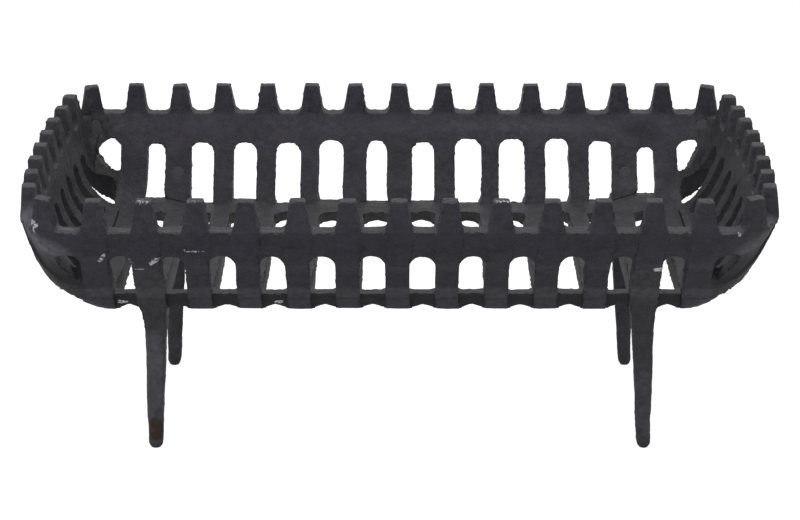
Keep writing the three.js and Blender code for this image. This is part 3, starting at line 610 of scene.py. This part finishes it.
def empty_material(name):
    material = bpy.data.materials.new(name)
    material.use_nodes = True
    material.node_tree.nodes.clear()
    return material


def blended(tree, factor, first, second):
    """The mix of two colours, each a socket or four numbers."""
    return add_node(tree, "ShaderNodeMix", {
        "Factor": factor, "A": first, "B": second}, data_type="RGBA").outputs["Result"]


def noise(tree, place, length, detail=4.0, roughness=0.6):
    """Random blotches of about a length, in metres."""
    return add_node(tree, "ShaderNodeTexNoise", {
        "Vector": place, "Scale": 1 / length, "Detail": detail,
        "Roughness": roughness}).outputs["Fac"]


def hardened(tree, value):
    """A noise, most of which lies near its middle, spread over the whole way from 0 to 1."""
    return add_node(tree, "ShaderNodeMapRange", {
        "Value": value, "From Min": 0.34, "From Max": 0.66}).outputs["Result"]


def patchy(tree, attribute, breakup, low, high):
    """Where a corner attribute, broken up by a noise, passes from one level to another."""
    value = add_node(tree, "ShaderNodeAttribute", attribute_name=attribute).outputs["Fac"]
    rough = add_node(tree, "ShaderNodeMath", {0: value, 1: breakup}, operation="MULTIPLY")
    return add_node(tree, "ShaderNodeMapRange", {
        "Value": rough.outputs[0], "From Min": low, "From Max": high}).outputs["Result"]


def coated(material, coat, roughness, normal, bare):
    """Gives a material its surface: a coat, and metal where it is bare, which also paints the
    glints on the tooth tops.
    """
    tree = material.node_tree
    shader = add_node(tree, "ShaderNodeBsdfPrincipled", {
        "Base Color": coat, "Roughness": roughness, "Normal": normal, "Metallic": bare,
        "IOR": POLISH_IOR})
    add_node(tree, "ShaderNodeOutputMaterial", {"Surface": shader.outputs[0]})


def blacked_cast_iron(name, settings, tone):
    """Sand-cast grey iron, rubbed with black stove polish: a fine-grained matt black, brightened
    and tinted per part by a tone that is painted light, with a cold violet tint on the walls that
    is partly painted sheen, and painted shade darkening the hollows. Handling has burnished its
    proud edges grey, filing has bared some spots to bright iron, the bright spots on the tooth
    tops are painted glints, some lit places are painted lighter grey as highlights, and the feet
    have begun to rust. The sand's grain, under half a millimetre, is drawn coarser, or it
    wouldn't show."""
    material = empty_material(name)
    tree = material.node_tree
    place = add_node(tree, "ShaderNodeTexCoord").outputs["Object"]
    smears = noise(tree, place, 42 * MM, 3.0)
    blotches = noise(tree, place, 13 * MM, 5.0)
    mottling = noise(tree, place, 4.5 * MM)
    grain = noise(tree, place, 1.3 * MM, 4.0, 0.65)
    dark, light = (
        tuple(c * t * share for c, t in zip(settings.iron, tone)) + (1,)
        for share in (0.55, 1.5))
    coat = blended(tree, hardened(tree, blotches), dark, light)
    fine = blended(tree, hardened(tree, mottling), dark, light)
    coat = blended(tree, hardened(tree, smears), coat, fine)
    coat = blended(tree, 0.3, coat, blended(tree, hardened(tree, grain), dark, light))
    # Bare iron on the filed spots, and painted glints on the tooth tops.
    bare = patchy(tree, "filed", grain, 0.4, 0.54)
    # Painted lighter grey as highlights, the edge grey of wear, painted shade in the hollows,
    # rust, and bare iron that also paints glints.
    for share, colour in (
            (patchy(tree, "painted_lighter", mottling, 0.05, 0.6), PAINTED_LIGHTER_GREY),
            (patchy(tree, "proud", grain, 0.05, 0.28), EDGE_GREY),
            (patchy(tree, "painted_shade", mottling, 0.0, 0.6), PAINTED_SHADE_BLACK),
            (patchy(tree, "rust", mottling, 0.2, 0.5), RUST_BROWN),
            (bare, BARE_IRON_AND_GLINT)):
        coat = blended(tree, share, coat, linear(colour))
    shine = add_node(tree, "ShaderNodeMapRange", {
        "Value": grain, "From Min": 0.3, "From Max": 0.7, "To Min": 0.62, "To Max": 0.46})
    pitting = add_node(tree, "ShaderNodeBump", {
        "Height": grain, "Strength": 0.5, "Distance": 0.3 * MM})
    relief = add_node(tree, "ShaderNodeBump", {
        "Height": mottling, "Strength": 0.5, "Distance": 1.2 * MM,
        "Normal": pitting.outputs["Normal"]})
    coated(material, coat, shine.outputs["Result"], relief.outputs["Normal"], bare)
    return material


def filed_iron(name, settings):
    """A rivet head hammered down, filed flush and blacked again: greyer and smoother, with
    bare streaks where the file went last."""
    material = empty_material(name)
    tree = material.node_tree
    place = add_node(tree, "ShaderNodeTexCoord").outputs["Object"]
    scratches = noise(tree, place, 1.6 * MM)
    patches = noise(tree, place, 5 * MM)
    dark = tuple(c * 1.3 for c in settings.iron) + (1,)
    coat = blended(tree, patches, dark, linear(FILED_GREY))
    # Painted lighter grey where a painted highlight falls on the rivet.
    painted_lighter = patchy(tree, "painted_lighter", patches, 0.05, 0.6)
    coat = blended(tree, painted_lighter, coat, linear(PAINTED_LIGHTER_GREY))
    bare = patchy(tree, "filed", scratches, 0.4, 0.54)
    coat = blended(tree, bare, coat, linear(BARE_IRON_AND_GLINT))
    relief = add_node(tree, "ShaderNodeBump", {
        "Height": scratches, "Strength": 0.5, "Distance": 0.3 * MM})
    coated(material, coat, 0.5, relief.outputs["Normal"], bare)
    return material


def mirrored_rays(tree, path):
    """1 for the rays that come from a reflection or through glass."""
    return add_node(tree, "ShaderNodeMath", {
        0: path.outputs["Is Glossy Ray"], 1: path.outputs["Is Transmission Ray"]},
        operation="MAXIMUM").outputs[0]


def white_stage(name, colour):
    """A matt floor. Seen directly it also glows, so that it shows white and keeps the
    object's shadow, and it glows less where the object mirrors it."""
    material = empty_material(name)
    tree = material.node_tree
    path = add_node(tree, "ShaderNodeLightPath")
    dim = add_node(tree, "ShaderNodeMath", {
        0: mirrored_rays(tree, path), 1: MIRRORED_GLOW}, operation="MULTIPLY")
    strength = add_node(tree, "ShaderNodeMath", {
        0: path.outputs["Is Camera Ray"], 1: FLOOR_GLOW, 2: dim.outputs[0]},
        operation="MULTIPLY_ADD")
    matt = add_node(tree, "ShaderNodeBsdfDiffuse", {"Color": tuple(colour) + (1,)})
    light = add_node(tree, "ShaderNodeEmission", {"Strength": strength.outputs[0]})
    both = add_node(tree, "ShaderNodeAddShader", {0: matt.outputs[0], 1: light.outputs[0]})
    add_node(tree, "ShaderNodeOutputMaterial", {"Surface": both.outputs[0]})
    return material


# ------------------------------------------------------------------ operators


class GRATE_OT_castings(bpy.types.Operator):
    """Turns each CAD casting into one with sand-cast surfaces."""

    bl_idname = "log_grate.castings"
    bl_label = "Cast the walls, ends, floor and legs"

    def execute(self, context):
        settings = context.scene.log_grate
        # Each finish is the blacked iron in its own tone, which is painted light.
        materials = {
            slot: blacked_cast_iron("blacked_" + slot, settings, tone)
            for slot, tone in PAINTED_LIGHT_TONES.items()
        }
        for node, slot in CASTINGS.items():
            others = [name for name in (*CASTINGS, *RIVETS) if name != node]
            points, quads, proud, crisp = cast_mesh(node, others, settings, settings.cell)
            piece = add_piece("cast_" + node, node, points, quads, crisp, materials[slot])
            mark(piece, "proud", proud)
            # Filed spots, and painted glints on the tooth tops.
            mark(piece, "filed", strokes(points, FILED_AND_GLINTS))
            # Painted highlights, and the lower front legs painted lighter.
            mark(piece, "painted_lighter", strokes(points, PAINTED_LIGHTER_STROKES))
            # Painted shade in the recesses.
            mark(piece, "painted_shade", painted_recess_shade(points))
            mark(piece, "rust", strokes(points, RUSTED))
        return {"FINISHED"}


class GRATE_OT_rivets(bpy.types.Operator):
    """Hammers and files the eight rivets."""

    bl_idname = "log_grate.rivets"
    bl_label = "Set the rivets"

    def execute(self, context):
        settings = context.scene.log_grate
        material = filed_iron("filed_wrought_rivet", settings)
        for node in RIVETS:
            points, quads, _, crisp = cast_mesh(node, CASTINGS, settings, settings.rivet_cell)
            piece = add_piece("filed_" + node, node, points, quads, crisp,
                              material)
            # Filed spots, with the painted glints of the same list.
            mark(piece, "filed", strokes(points, FILED_AND_GLINTS))
            # Painted highlights where they fall on a rivet.
            mark(piece, "painted_lighter", strokes(points, PAINTED_LIGHTER_STROKES))
        return {"FINISHED"}


def add_lamp(name, place, size, power, colour):
    """A soft rectangular lamp that shines at the grate."""
    lamp = bpy.data.lights.new(name, "AREA")
    lamp.shape = "RECTANGLE"
    lamp.size, lamp.size_y = size
    lamp.energy = power
    lamp.color = linear(colour)[:3]
    holder = bpy.data.objects.new(name, lamp)
    holder.location = place
    way = Vector(LAMP_AIM) - Vector(place)
    holder.rotation_euler = way.to_track_quat("-Z", "Y").to_euler()
    bpy.context.scene.collection.objects.link(holder)


def set_world():
    """A plain grey surround for light, and white where it is looked at or mirrored."""
    world = bpy.data.worlds.new("studio_surround")
    world.use_nodes = True
    tree = world.node_tree
    tree.nodes.clear()
    path = add_node(tree, "ShaderNodeLightPath")
    seen = add_node(tree, "ShaderNodeMath", {
        0: path.outputs["Is Camera Ray"], 1: mirrored_rays(tree, path)}, operation="MAXIMUM")
    strength = add_node(tree, "ShaderNodeMapRange", {
        "Value": seen.outputs[0], "To Min": SURROUND, "To Max": 1.0})
    light = add_node(tree, "ShaderNodeBackground", {"Strength": strength.outputs["Result"]})
    add_node(tree, "ShaderNodeOutputWorld", {"Surface": light.outputs[0]})
    bpy.context.scene.world = world


class GRATE_OT_stage(bpy.types.Operator):
    """Sets the floor, the lamps, the surround and the camera."""

    bl_idname = "log_grate.stage"
    bl_label = "Set the stage"

    def execute(self, context):
        settings = context.scene.log_grate
        mesh = bpy.data.meshes.new("stage_floor")
        mesh.from_pydata([
            (x * FLOOR_REACH, y * FLOOR_REACH, 0)
            for x, y in ((-1, -1), (1, -1), (1, 1), (-1, 1))], [], [(0, 1, 2, 3)])
        mesh.materials.append(white_stage("matt_white_floor", settings.floor_tone))
        floor = bpy.data.objects.new("stage_floor", mesh)
        context.scene.collection.objects.link(floor)
        floor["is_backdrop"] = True
        for lamp in LAMPS:
            add_lamp(*lamp)
        set_world()
        self.add_camera(context)
        context.scene.view_settings.view_transform = "Standard"
        return {"FINISHED"}

    def add_camera(self, context):
        """The photograph's view: a long lens, level, looking down from the front."""
        lens = bpy.data.cameras.new("photo_view")
        lens.sensor_width = 36
        lens.lens = CAMERA_LENS
        lens.shift_x, lens.shift_y = CAMERA_SHIFT
        camera = bpy.data.objects.new("photo_view", lens)
        camera.location = CAMERA_PLACE
        camera.rotation_euler = (math.radians(90) - CAMERA_DOWN, 0, 0)
        context.scene.collection.objects.link(camera)
        context.scene.camera = camera


class GRATE_PT_panel(bpy.types.Panel):
    """Lists the grate's settings and steps in the sidebar."""

    bl_idname = "GRATE_PT_panel"
    bl_label = "Log Grate"
    bl_space_type = "VIEW_3D"
    bl_region_type = "UI"
    bl_category = "Log Grate"

    def draw(self, context):
        settings = context.scene.log_grate
        for name in LogGrateSettings.__annotations__:
            self.layout.prop(settings, name)
        for step in STEPS:
            self.layout.operator(step.bl_idname)


STEPS = (GRATE_OT_castings, GRATE_OT_rivets, GRATE_OT_stage)
CLASSES = (LogGrateSettings, *STEPS, GRATE_PT_panel)


def register():
    for kind in CLASSES:
        bpy.utils.register_class(kind)
    bpy.types.Scene.log_grate = bpy.props.PointerProperty(type=LogGrateSettings)


def unregister():
    del bpy.types.Scene.log_grate
    for kind in reversed(CLASSES):
        bpy.utils.unregister_class(kind)


def main():
    register()
    bpy.ops.log_grate.castings()
    bpy.ops.log_grate.rivets()
    bpy.ops.log_grate.stage()


if __name__ == "__main__":
    main()
